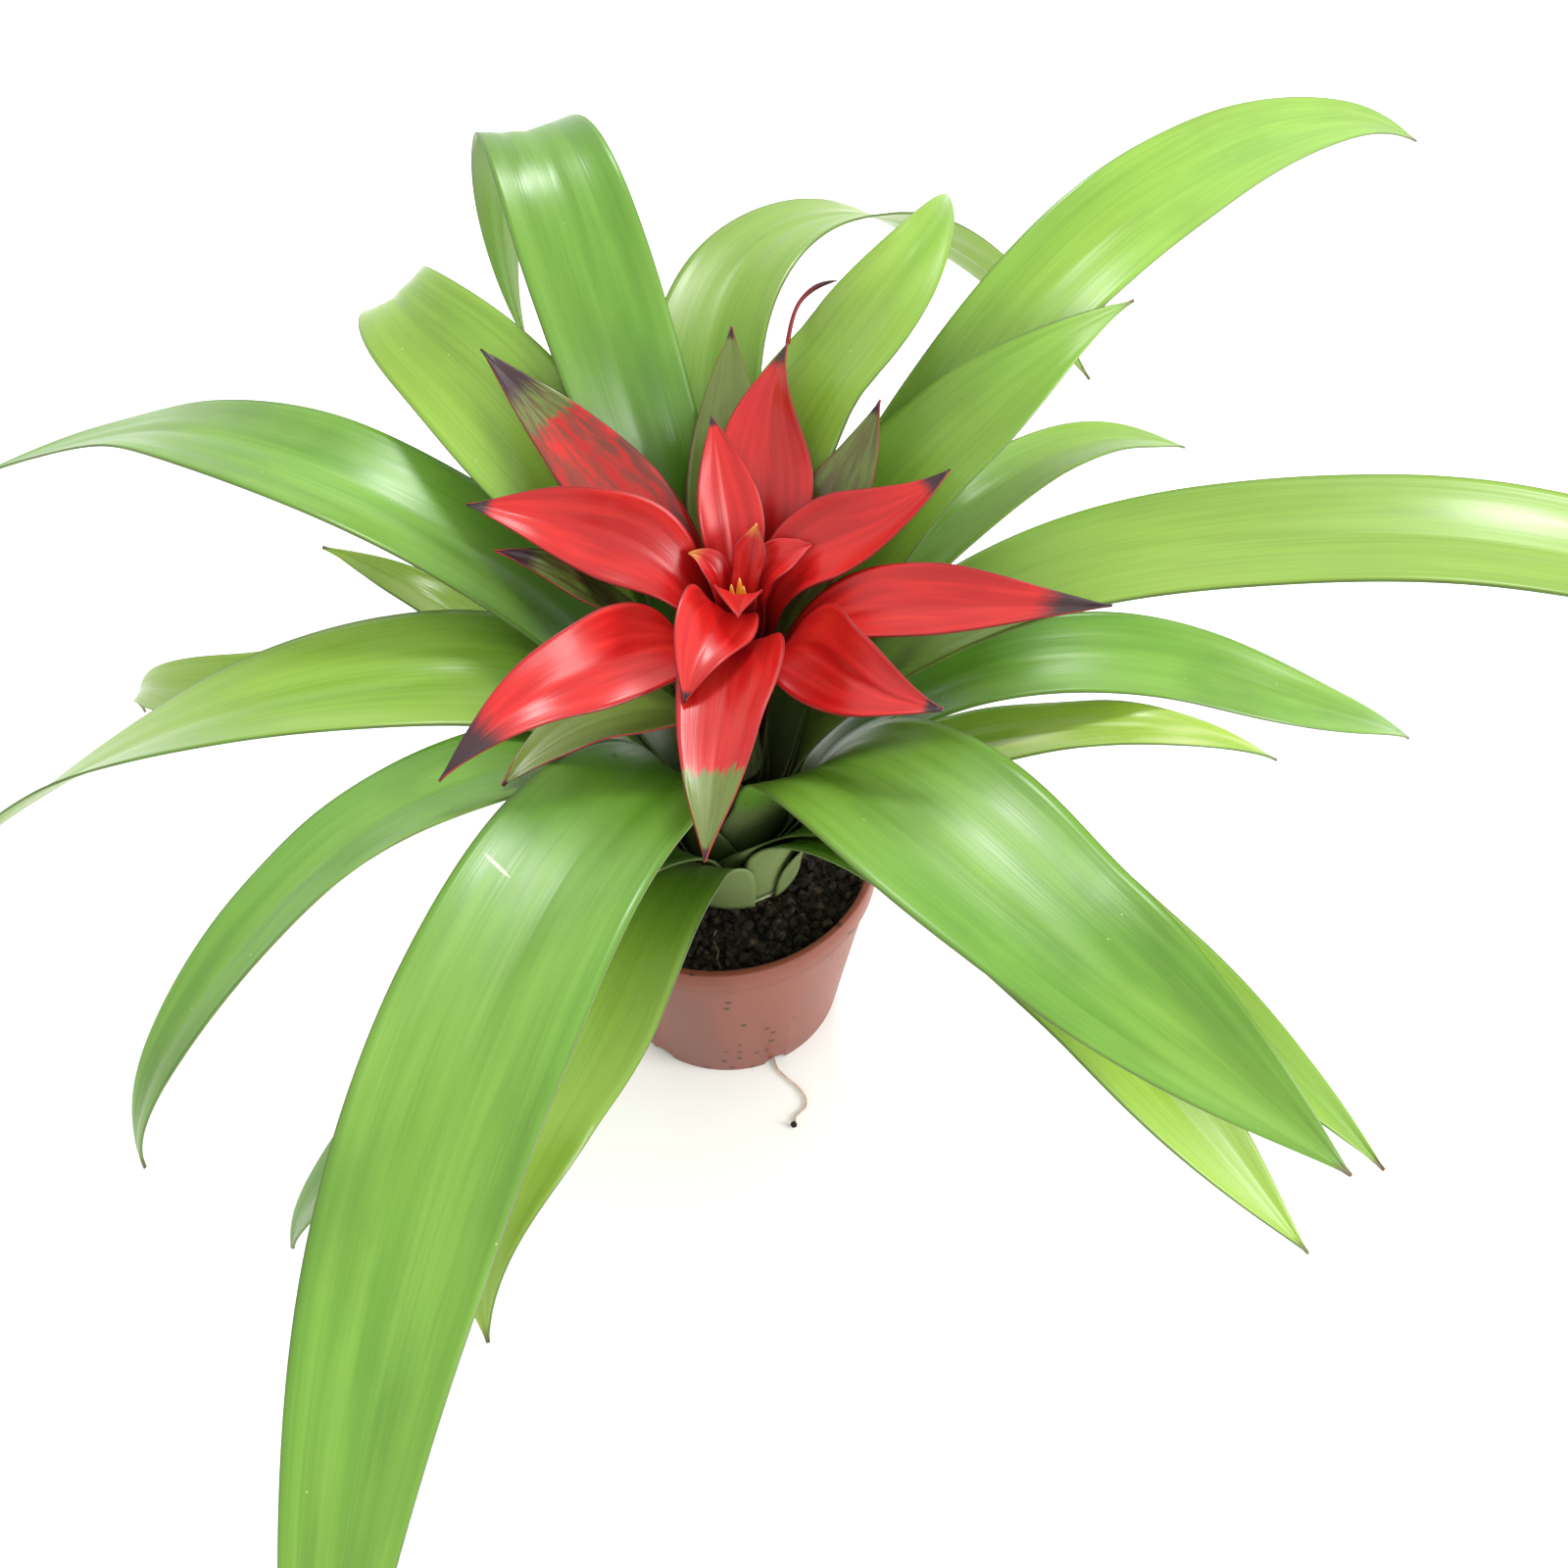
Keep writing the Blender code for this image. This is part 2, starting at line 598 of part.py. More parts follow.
def make_roots():
    lie = ROOT_RADIUS + CLEARANCE / 2
    root = [root_spot(out, aside, lie) for out, aside in ROOT_ROUTE]
    tube("escaped_root", smooth_route(root, 2), ROOT_RADIUS)

    thread_height = SOIL_TOP + SOIL_LUMP + THREAD_RADIUS
    thread = [Vector((x * POT_RIM_RADIUS, y * POT_RIM_RADIUS, thread_height)) for x, y in THREAD_ROUTE]
    tube("root_thread", smooth_route(thread, 2), THREAD_RADIUS)

    onward = (root[-1] - root[-2]).normalized()
    spot = root[-1] + onward * (CRUMB_RADIUS + CLEARANCE)
    spot.z = CRUMB_RADIUS
    bm = bmesh.new()
    bmesh.ops.create_icosphere(
        bm, subdivisions=1, radius=CRUMB_RADIUS, matrix=Matrix.Translation(spot)
    )
    add_object("peat_crumb", bm, material("peat_crumb", PEAT_COLOUR, PEAT_ROUGHNESS), sharp=20)


def main():
    clear_scene()
    make_pot()
    make_soil()
    plant = make_plant_empty()
    make_stem(plant)
    make_rosette(LEAVES, 0, plant)
    make_rosette(BRACTS, HEAD_RISE, plant)
    make_buds(plant)
    make_roots()


main()
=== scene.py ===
import math
import random

import bmesh
import bpy
from mathutils import Matrix, Vector, noise


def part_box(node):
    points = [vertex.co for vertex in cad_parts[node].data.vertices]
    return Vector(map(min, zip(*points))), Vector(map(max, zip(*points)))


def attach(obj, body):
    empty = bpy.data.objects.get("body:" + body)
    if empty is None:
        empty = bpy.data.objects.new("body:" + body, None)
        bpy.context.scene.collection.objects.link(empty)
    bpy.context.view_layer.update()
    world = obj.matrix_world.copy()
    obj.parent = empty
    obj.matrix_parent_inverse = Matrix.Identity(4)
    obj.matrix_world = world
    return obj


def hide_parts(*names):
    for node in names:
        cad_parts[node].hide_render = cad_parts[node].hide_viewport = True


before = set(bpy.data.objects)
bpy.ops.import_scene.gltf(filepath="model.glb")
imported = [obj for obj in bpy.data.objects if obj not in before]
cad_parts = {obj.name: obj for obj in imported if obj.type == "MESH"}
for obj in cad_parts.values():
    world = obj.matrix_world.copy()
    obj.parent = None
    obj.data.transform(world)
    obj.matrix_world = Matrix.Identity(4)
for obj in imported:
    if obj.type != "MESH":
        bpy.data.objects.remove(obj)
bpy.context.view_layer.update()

mm = 0.001
scene = bpy.context.scene
random.seed(5)

# Every blade is one row: name, heading, length and width in mm, the slopes of its midrib from foot
# to tip, then how far it swings to the left and how far it rolls, at two thirds and at the tip.
leafRows = (
    ("leaf_right_pale", 348, 159, 23, (90, 65, 53, 36, 23, 12, -10, -29), (6, 7), (-13, 4)),
    ("leaf_front_cup", 238, 179, 53, (90, 66, 24, -21, -36, -33, -30, -28), (6, 47), (-37, 51)),
    ("leaf_front_right_low", 311, 220, 38, (90, 64, 42, 11, -10, -20, -31, -40), (0, 17), (-9, 18)),
    ("leaf_front_left_low", 230, 205, 36, (90, 60, 35, 1, -21, -37, -51, -80), (6, -42), (70, -16)),
    ("leaf_right_under", 316, 218, 34, (90, 64, 44, 15, -5, -13, -19, -25), (7, 2), (-10, 2)),
    ("leaf_left_low", 172, 217, 29, (90, 55, 25, -3, -14, -17, -36, -77), (1, -58), (3, -55)),
    ("leaf_right_lower", 2, 232, 25, (90, 63, 43, 15, -10, -24, -30, -45), (-5, 28), (16, 21)),
    ("leaf_left_small", 165, 140, 23, (90, 69, 52, 28, 14, 13, 5, -2), (-18, -11), (22, -7)),
    ("leaf_right_wedge", 354, 78, 24, (90, 82, 77, 72, 64, 52, 38, 24), (-4, -6), (-5, -5)),
    ("leaf_left_droop", 218, 243, 28, (90, 68, 46, 23, 14, -14, -48, -90), (16, -1), (25, 9)),
    ("leaf_right_small", 32, 208, 26, (90, 77, 64, 35, 11, -8, -25, -33), (7, -1), (-14, 10)),
    ("leaf_front_right_big", 301, 237, 49, (90, 70, 62, 21, 1, -3, -19, -33), (11, 32), (1, 44)),
    ("leaf_left_middle", 191, 249, 43, (90, 71, 44, 6, -11, -24, -34, -41), (-5, 0), (18, 46)),
    ("leaf_front_big", 244, 327, 40, (90, 66, 28, -3, -8, -13, -19, -27), (16, 31), (-4, 24)),
    ("leaf_left_upper", 165, 303, 36, (90, 66, 42, 17, -8, -28, -30, -31), (-19, 6), (7, 20)),
    ("leaf_right_long", 352, 359, 34, (90, 69, 45, 27, 23, 8, -7, -25), (-25, 0), (8, 3)),
    ("leaf_right_upper", 41, 365, 28, (90, 69, 48, 30, 2, -10, -17, -33), (6, -5), (37, 42)),
    ("leaf_right_pointed", 41, 183, 33, (90, 79, 70, 58, 50, 39, 25, 5), (-18, -8), (13, 78)),
    ("leaf_back_arch", 100, 304, 30, (90, 70, 51, 26, 0, -26, -41, -47), (-71, -122), (-18, -109)),
    ("leaf_left_folded", 146, 235, 36, (90, 75, 62, 40, 26, -3, -50, -80), (-10, -96), (-41, -20)),
    ("leaf_back_left_arch", 121, 295, 33, (90, 71, 56, 47, 30, -37, -85, -111), (-13, 23), (-2, 8)),
    ("leaf_back_wide", 85, 194, 33, (90, 76, 71, 60, 50, 48, 17, -32), (-60, 1), (3, 50)),
)
bractRows = (
    ("bract_green_left", 223, 98, 22, (90, 76, 62, 43, 25, 15, 7, 0), (-2, 16), (-3, -5)),
    ("bract_brown_left", 174, 85, 18, (90, 65, 63, 54, 46, 47, 33, 5), (3, 5), (22, -42)),
    ("bract_green_back", 90, 113, 29, (90, 82, 72, 59, 49, 44, 40, 38), (8, -4), (-17, 1)),
    ("bract_olive_back", 44, 97, 26, (90, 79, 71, 64, 59, 55, 56, 56), (-5, 18), (5, -5)),
    ("bract_front_left", 228, 121, 24, (90, 76, 68, 35, 17, 4, -10, -19), (-7, 1), (-43, 18)),
    ("bract_back_tall", 73, 98, 31, (90, 71, 72, 66, 59, 48, 38, 29), (20, -10), (-6, -46)),
    ("bract_right", 342, 120, 22, (90, 78, 64, 41, 25, 21, 22, 22), (-6, -5), (27, 12)),
    ("bract_back_left", 144, 117, 24, (90, 82, 62, 45, 34, 29, 24, 17), (-1, -7), (-22, -11)),
    ("bract_front_right", 311, 88, 27, (90, 74, 68, 44, 21, 11, 13, 17), (-10, 27), (56, 4)),
    ("bract_front", 268, 104, 26, (90, 74, 51, 23, 5, -7, -11, -13), (-7, -2), (24, 2)),
    ("bract_right_upper", 43, 87, 26, (90, 83, 77, 51, 34, 37, 37, 30), (-58, -8), (36, -15)),
    ("bract_left", 157, 94, 26, (90, 81, 69, 49, 27, 13, 5, -4), (22, 9), (-57, -9)),
    ("bract_back", 95, 66, 21, (90, 80, 73, 63, 54, 47, 40, 34), (12, 8), (-3, -3)),
    ("bract_front_cup", 256, 67, 24, (90, 81, 71, 53, 28, 7, -13, -33), (-4, 0), (-25, 2)),
    ("bract_inner_right", 56, 37, 18, (90, 70, 79, 80, 65, 45, 23, 3), (-39, -44), (6, 34)),
    ("bract_inner_left", 133, 32, 15, (90, 83, 81, 80, 76, 60, 28, -8), (-7, 42), (19, -42)),
    ("bract_inner_front", 265, 46, 15, (90, 82, 76, 63, 49, 34, 23, 13), (3, 7), (-5, -2)),
    ("bract_inner_back", 75, 28, 14, (90, 82, 78, 74, 68, 61, 55, 50), (-6, -4), (-2, -5)),
)

# Leaves whose colour differs: yellow at foot and tip, how dark, below 0 for paler, and how bleached.
leafTones = {
    "leaf_right_pale": {"yellow": (1.0, 1.0), "dark": -0.5, "bleached": 0.9},
    # leaf_front_cup: partly its own bright green, partly painted light against the shade of leaf_front_big
    # above it.
    "leaf_front_cup": {"yellow": (0.3, 0.95), "dark": -0.1},
    "leaf_front_right_low": {"yellow": (0.35, 0.8), "dark": 0.05},
    "leaf_left_low": {"yellow": (0.6, 0.7), "dark": 0, "bleached": 0.1},
    "leaf_right_wedge": {"yellow": (0, 0.1), "dark": 0.7},
    "leaf_left_droop": {"yellow": (0.1, 0.1), "dark": 0.25},
    "leaf_right_upper": {"yellow": (0.3, 0.4), "dark": 0},
    "leaf_back_arch": {"yellow": (0.1, 0.9), "dark": 0.2, "bleached": 0.2},
    "leaf_back_wide": {"yellow": (0.35, 0.45), "dark": -0.05, "bleached": 0.15},
    "leaf_right_pointed": {"yellow": (0.3, 0.3), "dark": 0.05},
    "leaf_right_long": {"yellow": (0.45, 0.55), "dark": -0.05},
    "leaf_left_middle": {"yellow": (0.35, 0.4), "dark": -0.1, "bleached": 0.15},
    "leaf_front_left_low": {"yellow": (0.1, 0.2), "dark": 0.4},
    "leaf_right_lower": {"yellow": (0.1, 0.15), "dark": 0.15, "bleached": 0.1},
    "leaf_front_big": {"yellow": (0.05, 0.15), "dark": 0.2},
    "leaf_back_left_arch": {"yellow": (0.05, 0.1), "dark": 0.35},
    "leaf_left_folded": {"yellow": (0.45, 0.5), "dark": -0.2},
    "leaf_right_small": {"yellow": (0.3, 0.4), "dark": 0},
    "leaf_right_under": {"yellow": (0.3, 0.5), "dark": 0.1},
    # leaf_left_small: partly its own light green, partly painted light that makes up for the shade of the
    # leaf above it.
    "leaf_left_small": {"yellow": (1.0, 1.0), "dark": -0.4, "bleached": 0.3},
}
# Bracts are red. Shares of the length for the dark or gold tip, and where green starts; brown from 0 to 1.
bractTones = {
    "bract_green_left": {"green": 0, "darkTip": 0.01},
    "bract_brown_left": {"green": 0, "brown": 0.75, "darkTip": 0.1},
    "bract_green_back": {"green": 0, "brown": 0.2, "darkTip": 0.02},
    "bract_olive_back": {"green": 0, "brown": 0.5, "darkTip": 0.03},
    "bract_front_left": {"darkTip": 0.12},
    "bract_back_tall": {"darkTip": 0.06, "brown": 0.1},
    "bract_right": {"darkTip": 0.11},
    "bract_back_left": {"darkTip": 0.12, "green": 0.79, "brown": 0.8},
    "bract_front_right": {"darkTip": 0.04},
    "bract_front": {"darkTip": 0.02, "green": 0.80, "brown": 0.1},
    "bract_right_upper": {"darkTip": 0.07},
    "bract_left": {"darkTip": 0.05},
    "bract_back": {"darkTip": 0.03},
    "bract_front_cup": {"darkTip": 0.03},
    "bract_inner_right": {"darkTip": 0},
    "bract_inner_left": {"darkTip": 0, "goldTip": 0.12},
    "bract_inner_front": {"darkTip": 0},
    "bract_inner_back": {"darkTip": 0, "goldTip": 0.14},
}

plant = {"crown": (0.003, 0, 0.066), "lean": 3.5}  # place in metres, lean to the right in degrees
leafForm = {
    "core": 6.0, "step": 1.6, "thick": 0.6, "cup": 15, "footShare": 0.85, "base": 0,  # mm and degrees
    "columns": 20, "rows": 112, "ripple": 0.25, "wave": 0.8, "groove": 0.5,
    "sheathTop": 46, "sheathWidest": 80,
}
bractForm = {
    "core": 2.9, "step": 8.0, "thick": 0.4, "cup": 28, "footShare": 0.6, "base": 41,
    "columns": 18, "rows": 56, "ripple": 0.2, "wave": 1.0, "groove": 0.5,
    "sheathTop": 16, "sheathWidest": 60,
}
bladeForm = {  # shares of a blade's length, and how full and how fine its tip is
    "sheathTo": 0.1, "freeFrom": 0.4, "widest": 0.5, "tipFullness": 1.8, "tipPoint": 1.1,
    "cornerRounding": 0.03,
}
sheathAngle = 33  # a sheath wraps this far each way round the stem, degrees
sheathSpacing = 70  # sheaths closer than this round the stem lie in different rings, degrees
sheathGap = 3  # between neighbours in one ring, degrees
clearance = 0.3  # mm
plantPlace = Matrix.Translation(plant["crown"]) @ Matrix.Rotation(math.radians(plant["lean"]), 4, "Y")


def ease(low, high, value):
    share = min(max((value - low) / (high - low), 0), 1)
    return share * share * (3 - 2 * share)


def along(angles, share):
    place = min(max(share, 0), 1) * (len(angles) - 1)
    index = min(int(place), len(angles) - 2)
    return angles[index] + (angles[index + 1] - angles[index]) * (place - index)


def smoothAlong(angles, share):  # rounds the corners between stations
    near = bladeForm["cornerRounding"]
    return (along(angles, share - near) + 2 * along(angles, share) + along(angles, share + near)) / 4


def angleBetween(a, b):
    return abs((a - b + 180) % 360 - 180)


def ringsOf(rows):  # ring of each sheath, 0 outermost
    rings = []
    for row in rows:
        below = [ring for other, ring in zip(rows, rings) if angleBetween(other[1], row[1]) < sheathSpacing]
        rings.append(max(below) + 1 if below else 0)
    return rings


def sheathReach(rows, rings, number, form):  # how far each side of a sheath may wrap, degrees
    heading = rows[number][1]
    reach = []
    for side in (1, -1):
        room = [
            ((other[1] - heading) * side) % 360
            for other, ring in zip(rows, rings)
            if ring == rings[number] and other is not rows[number]
        ]
        free = min(room) / 2 - sheathGap if room else 180
        reach.append(max(min(free, form["sheathWidest"]), sheathAngle))
    return reach


def bladeDirections(row, share):  # tangent, side and upper face of a blade at a share of its length
    heading, arch, turn, twist = row[1], *row[4:]
    slope = math.radians(smoothAlong(arch, share))
    way = math.radians(heading + smoothAlong((0, 0, *turn), share))
    tangent = Vector((math.cos(slope) * math.cos(way), math.cos(slope) * math.sin(way), math.sin(slope)))
    level = Vector((-math.sin(way), math.cos(way), 0))
    roll = Matrix.Rotation(math.radians(smoothAlong((0, 0, *twist), share)), 3, tangent)
    return tangent, roll @ level, roll @ tangent.cross(level)


def spineOf(row, form, ring, count):
    wide = form["core"] + count * (form["thick"] + 2 * clearance)
    sag = wide * (1 - math.cos(math.radians(sheathAngle / 4)))
    radius = form["core"] + (count - ring - 0.5) * (form["thick"] + sag + clearance)
    start = math.radians(row[1])
    foot = form["base"] + form["step"] * ring
    points = [Vector((radius * math.cos(start), radius * math.sin(start), foot))]
    for step in range(form["rows"]):
        tangent = bladeDirections(row, (step + 0.5) / form["rows"])[0]
        points.append(points[-1] + tangent * row[2] / form["rows"])
    return points


def halfWidth(row, form, share, reach):
    widest = bladeForm["widest"]
    if share < widest:
        part = form["footShare"] + (1 - form["footShare"]) * ease(0, widest, share)
    else:
        taper = ((share - widest) / (1 - widest)) ** bladeForm["tipFullness"]
        part = max(1 - taper, 0) ** bladeForm["tipPoint"]
    free = max(row[3] / 2 * part, form["thick"] * 0.4)
    wrapped = reach * math.radians(sheathAngle)
    return (free**-4 + wrapped**-4) ** -0.25


def crossSections(row, form, spine, reachOf):  # everything that is the same across a blade
    sections = []
    for step, middle in enumerate(spine):
        share = step / form["rows"]
        side, upper = bladeDirections(row, share)[1:]
        reach = math.hypot(middle.x, middle.y)
        inward = Vector((-middle.x, -middle.y, 0)) / reach
        wrap = 1 - ease(bladeForm["sheathTo"], bladeForm["freeFrom"], share)
        curl = (upper * (1 - wrap) + inward * wrap).normalized()
        half = halfWidth(row, form, share, reach)
        bend = wrap * half / reach + (1 - wrap) * math.radians(form["cup"])
        shoulder = 1 - ease(0.15, 1, share * row[2] / form["sheathTop"])
        widen = [1 + (wide / sheathAngle - 1) * shoulder for wide in reachOf]
        sections.append((middle, side, curl, half / bend, bend, widen))
    return sections


def bladePoint(section, form, seed, across, share):
    middle, side, curl, radius, bend, widen = section
    angle = across * bend * (widen[0] if across > 0 else widen[1])
    free = ease(0.12, 0.4, share)
    lift = -form["groove"] * (1 - abs(across)) ** 6 * free * ease(1, 0.8, share)
    lift += form["ripple"] * free * noise.noise(Vector((across * 3.1, share * 1.7, seed)))
    lift += form["wave"] * free * abs(across) ** 3 * noise.noise(Vector((across * 0.6 + 9, share * 7, seed)))
    return middle + side * (radius * math.sin(angle)) + curl * (radius * (1 - math.cos(angle)) + lift)


def makeBlade(row, form, ring, count, reachOf, seed, toneOf, finishes):
    sections = crossSections(row, form, spineOf(row, form, ring, count), reachOf)
    bm = bmesh.new()
    uv = bm.loops.layers.uv.new("bladeUV")
    place = bm.verts.layers.float_vector.new("bladePlace")
    tone = bm.verts.layers.float_color.new("bladeTone")
    bmesh.ops.create_grid(bm, x_segments=form["columns"], y_segments=form["rows"], size=1)
    flat = {vert: (-vert.co.x, (vert.co.y + 1) / 2) for vert in bm.verts}
    for vert, (across, share) in flat.items():
        vert[place] = (across, share, seed)
        vert[tone] = toneOf(across, share)
        section = sections[round(share * form["rows"])]
        vert.co = plantPlace @ (bladePoint(section, form, seed, across, share) * mm)
    for face in bm.faces:
        for loop in face.loops:
            across, share = flat[loop.vert]
            loop[uv].uv = (across * row[3] / 20 + seed * uvShift, share * row[2] / 10)  # in centimetres
    mesh = bpy.data.meshes.new(row[0] + "_fine")
    bm.to_mesh(mesh)
    bm.free()
    piece = bpy.data.objects.new(row[0] + "_fine", mesh)
    scene.collection.objects.link(piece)
    for finish in finishes:
        mesh.materials.append(finish)
    mesh.shade_smooth()
    skin = piece.modifiers.new("Thickness", "SOLIDIFY")
    skin.thickness = form["thick"] * mm
    skin.offset = 0
    skin.material_offset = 1
    skin.material_offset_rim = 2
    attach(piece, "root")
    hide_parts(row[0])
    return piece


# Small helpers for putting a material's nodes together.
def addNode(tree, kind, inputs=None, **settings):
    node = tree.nodes.new("ShaderNode" + kind)
    for name, value in settings.items():
        setattr(node, name, value)
    for name, value in (inputs or {}).items():
        feed(tree, node.inputs[name], value)
    return node


def feed(tree, socket, value):
    if isinstance(value, bpy.types.NodeSocket):
        tree.links.new(value, socket)
    elif socket.type == "RGBA" and len(value) == 3:
        socket.default_value = (*value, 1)
    else:
        socket.default_value = value


def blend(tree, share, first, second):
    mix = addNode(tree, "Mix", data_type="RGBA")
    for number, value in ((0, share), (6, first), (7, second)):
        feed(tree, mix.inputs[number], value)
    return mix.outputs[2]


def sums(tree, operation, *values):
    node = addNode(tree, "Math", operation=operation)
    for number, value in enumerate(values):
        feed(tree, node.inputs[number], value)
    return node.outputs[0]


def remap(tree, value, low, high, out=(0, 1)):
    node = addNode(tree, "MapRange", {
        "Value": value, "From Min": low, "From Max": high, "To Min": out[0], "To Max": out[1],
    }, interpolation_type="SMOOTHSTEP")
    return node.outputs[0]


def streaks(tree, coordinates, scale, detail=2, shift=0):
    placed = addNode(tree, "Mapping", {
        "Vector": coordinates, "Scale": scale, "Location": (shift, shift, shift),
    })
    return addNode(tree, "TexNoise", {"Vector": placed.outputs[0], "Scale": 1, "Detail": detail}).outputs[0]


def roughen(tree, shader, height, strength, distance):  # distance in mm
    bump = addNode(tree, "Bump", {"Height": height, "Strength": strength, "Distance": distance * mm})
    feed(tree, shader.inputs["Normal"], bump.outputs[0])


def acrossAndShare(tree):  # place on a blade: -1 to 1 across, 0 to 1 from foot to tip
    place = addNode(tree, "Attribute", attribute_name="bladePlace")
    return addNode(tree, "SeparateXYZ", {0: place.outputs["Vector"]}).outputs[:2]


def newFinish(name, roughness, specular=0.5):
    finish = bpy.data.materials.new(name)
    finish.use_nodes = True
    shader = finish.node_tree.nodes["Principled BSDF"]
    shader.inputs["Roughness"].default_value = roughness
    shader.inputs["Specular IOR Level"].default_value = specular
    return finish, finish.node_tree, shader


leafColours = {
    "green": (0.100, 0.250, 0.020), "light": (0.150, 0.320, 0.034), "dark": (0.036, 0.105, 0.006),
    "yellow": (0.270, 0.410, 0.045), "sheath": (0.190, 0.245, 0.095), "under": (0.150, 0.265, 0.060),
    "margin": (0.075, 0.060, 0.025), "dry": (0.120, 0.070, 0.040), "bleached": (0.500, 0.540, 0.260),
}


# Marks on the upper face of the big front leaf: middle, half length and half width in cm, turn, colour.
leafMarks = (
    ((-1.25, 13.4), (0.42, 0.045), 20, (0.640, 0.620, 0.330)),
    ((-1.30, 8.2), (0.16, 0.05), 20, (0.010, 0.012, 0.006)),
    ((-1.26, 8.3), (0.12, 0.03), 110, (0.010, 0.012, 0.006)),
)
markedLeaf = "leaf_front_big"
leafSeedStep, bractSeedStep = 1.37, 2.11
uvShift = 5  # sets the blades apart in their UV map, cm


def leafFinish(name, base, light, dark, marks=(), shift=0):
    finish, tree, shader = newFinish(name, 0.4, 0.4)
    uv = addNode(tree, "UVMap", uv_map="bladeUV").outputs[0]
    across, share = acrossAndShare(tree)
    toneNode = addNode(tree, "Attribute", attribute_name="bladeTone")
    tones = addNode(tree, "SeparateColor", {0: toneNode.outputs["Color"]})
    yellow, shadeAndDark, pale = tones.outputs[0], tones.outputs[1], tones.outputs[2]
    bands = streaks(tree, uv, (1.6, 0.12, 1), 2)
    clouds = streaks(tree, uv, (0.5, 0.25, 1), 3, 4.2)
    veins = streaks(tree, uv, (16, 0.25, 1), 1, 2.5)
    colour = blend(tree, remap(tree, bands, 0.35, 0.68), base, light)
    colour = blend(tree, sums(tree, "MULTIPLY", remap(tree, clouds, 0.4, 0.75), 0.45), colour, dark)
    colour = blend(tree, yellow, colour, leafColours["yellow"])
    # Darkens by the second tone channel: the leaf's own darker patches plus painted shade near the crown.
    colour = blend(tree, shadeAndDark, colour, dark)
    colour = blend(tree, pale, colour, leafColours["sheath"])
    colour = blend(tree, remap(tree, veins, 0.35, 0.75, (0, 0.16)), colour, dark)
    colour = blend(tree, toneNode.outputs["Alpha"], colour, leafColours["bleached"])
    speckle = addNode(tree, "TexVoronoi", {"Vector": uv, "Scale": 1.1}, feature="F1")
    speck = remap(tree, speckle.outputs["Distance"], 0.03, 0.02)
    colour = blend(tree, sums(tree, "MULTIPLY", speck, 0.6), colour, leafColours["bleached"])
    edge = remap(tree, sums(tree, "ABSOLUTE", across), 0.975, 0.998, (0, 0.4))
    edge = sums(tree, "MULTIPLY", edge, sums(tree, "SUBTRACT", 1, pale))
    colour = blend(tree, edge, colour, leafColours["margin"])
    ragged = sums(tree, "ADD", share, sums(tree, "MULTIPLY", bands, 0.02))
    tip = remap(tree, ragged, 0.985, 1.008)
    colour = blend(tree, tip, colour, leafColours["dry"])
    for middle, size, turned, paint in marks:
        placed = addNode(tree, "Mapping", {
            "Vector": uv, "Location": (middle[0] + shift, middle[1], 0),
            "Rotation": (0, 0, math.radians(turned)), "Scale": (*size, 1),
        }, vector_type="TEXTURE")
        away = addNode(tree, "VectorMath", {0: placed.outputs[0]}, operation="LENGTH").outputs["Value"]
        colour = blend(tree, remap(tree, away, 1.1, 0.6), colour, paint)
    feed(tree, shader.inputs["Base Color"], colour)
    feed(tree, shader.inputs["Roughness"], remap(tree, bands, 0.3, 0.7, (0.26, 0.40)))
    ridges = sums(tree, "ADD", sums(tree, "MULTIPLY", veins, 0.5), bands)
    roughen(tree, shader, ridges, 0.35, 0.2)
    return finish


def edgeFinish(name, colour, second, foot):
    finish, tree, shader = newFinish(name, 0.55)
    uv = addNode(tree, "UVMap", uv_map="bladeUV").outputs[0]
    share = acrossAndShare(tree)[1]
    rim = blend(tree, streaks(tree, uv, (2, 0.8, 1)), colour, second)
    feed(tree, shader.inputs["Base Color"], blend(tree, remap(tree, share, 0.3, 0.12), rim, foot))
    return finish


leafTop = leafFinish("leafTop", leafColours["green"], leafColours["light"], leafColours["dark"])
markedSeed = [row[0] for row in leafRows].index(markedLeaf) * leafSeedStep
leafTopMarked = leafFinish(
    "leafTopMarked", leafColours["green"], leafColours["light"], leafColours["dark"],
    leafMarks, markedSeed * uvShift,
)
leafUnder = leafFinish("leafUnder", leafColours["under"], leafColours["sheath"], leafColours["green"])
leafEdge = edgeFinish("leafEdge", leafColours["margin"], leafColours["green"], leafColours["sheath"])

# Leaves, each standing for its CAD solid.
leafRings = ringsOf(leafRows)
for number, row in enumerate(leafRows):
    look = {"yellow": (0.05, 0.15), "dark": 0.15, "bleached": 0} | leafTones.get(row[0], {})

    def leafTone(across, share, look=look, length=row[2], seed=number * leafSeedStep):
        patch = noise.noise(Vector((across * 0.8, share * 5, seed)))
        yellow = look["yellow"][0] + (look["yellow"][1] - look["yellow"][0]) * share + 0.25 * patch
        # Own darkness and patches, plus painted shade in a band from about 0.08 to 0.46 of the length, where
        # the crown shades the leaf.
        shadeAndDark = look["dark"] + 0.55 * ease(0.08, 0.2, share) * ease(0.46, 0.24, share) + 0.2 * patch
        pale = ease(54, 28, share * length + 8 * patch)
        bleached = look["bleached"] * max(0, noise.noise(Vector((across * 2, share * 9, seed + 5))))
        return [min(max(value, 0), 1) for value in (yellow, shadeAndDark, pale, bleached)]

    reachOf = sheathReach(leafRows, leafRings, number, leafForm)
    finishes = (leafTopMarked if row[0] == markedLeaf else leafTop, leafUnder, leafEdge)
    seed = number * leafSeedStep
    ring, count = leafRings[number], max(leafRings) + 1
    piece = makeBlade(row, leafForm, ring, count, reachOf, seed, leafTone, finishes)
print("leaves", len(leafRows))

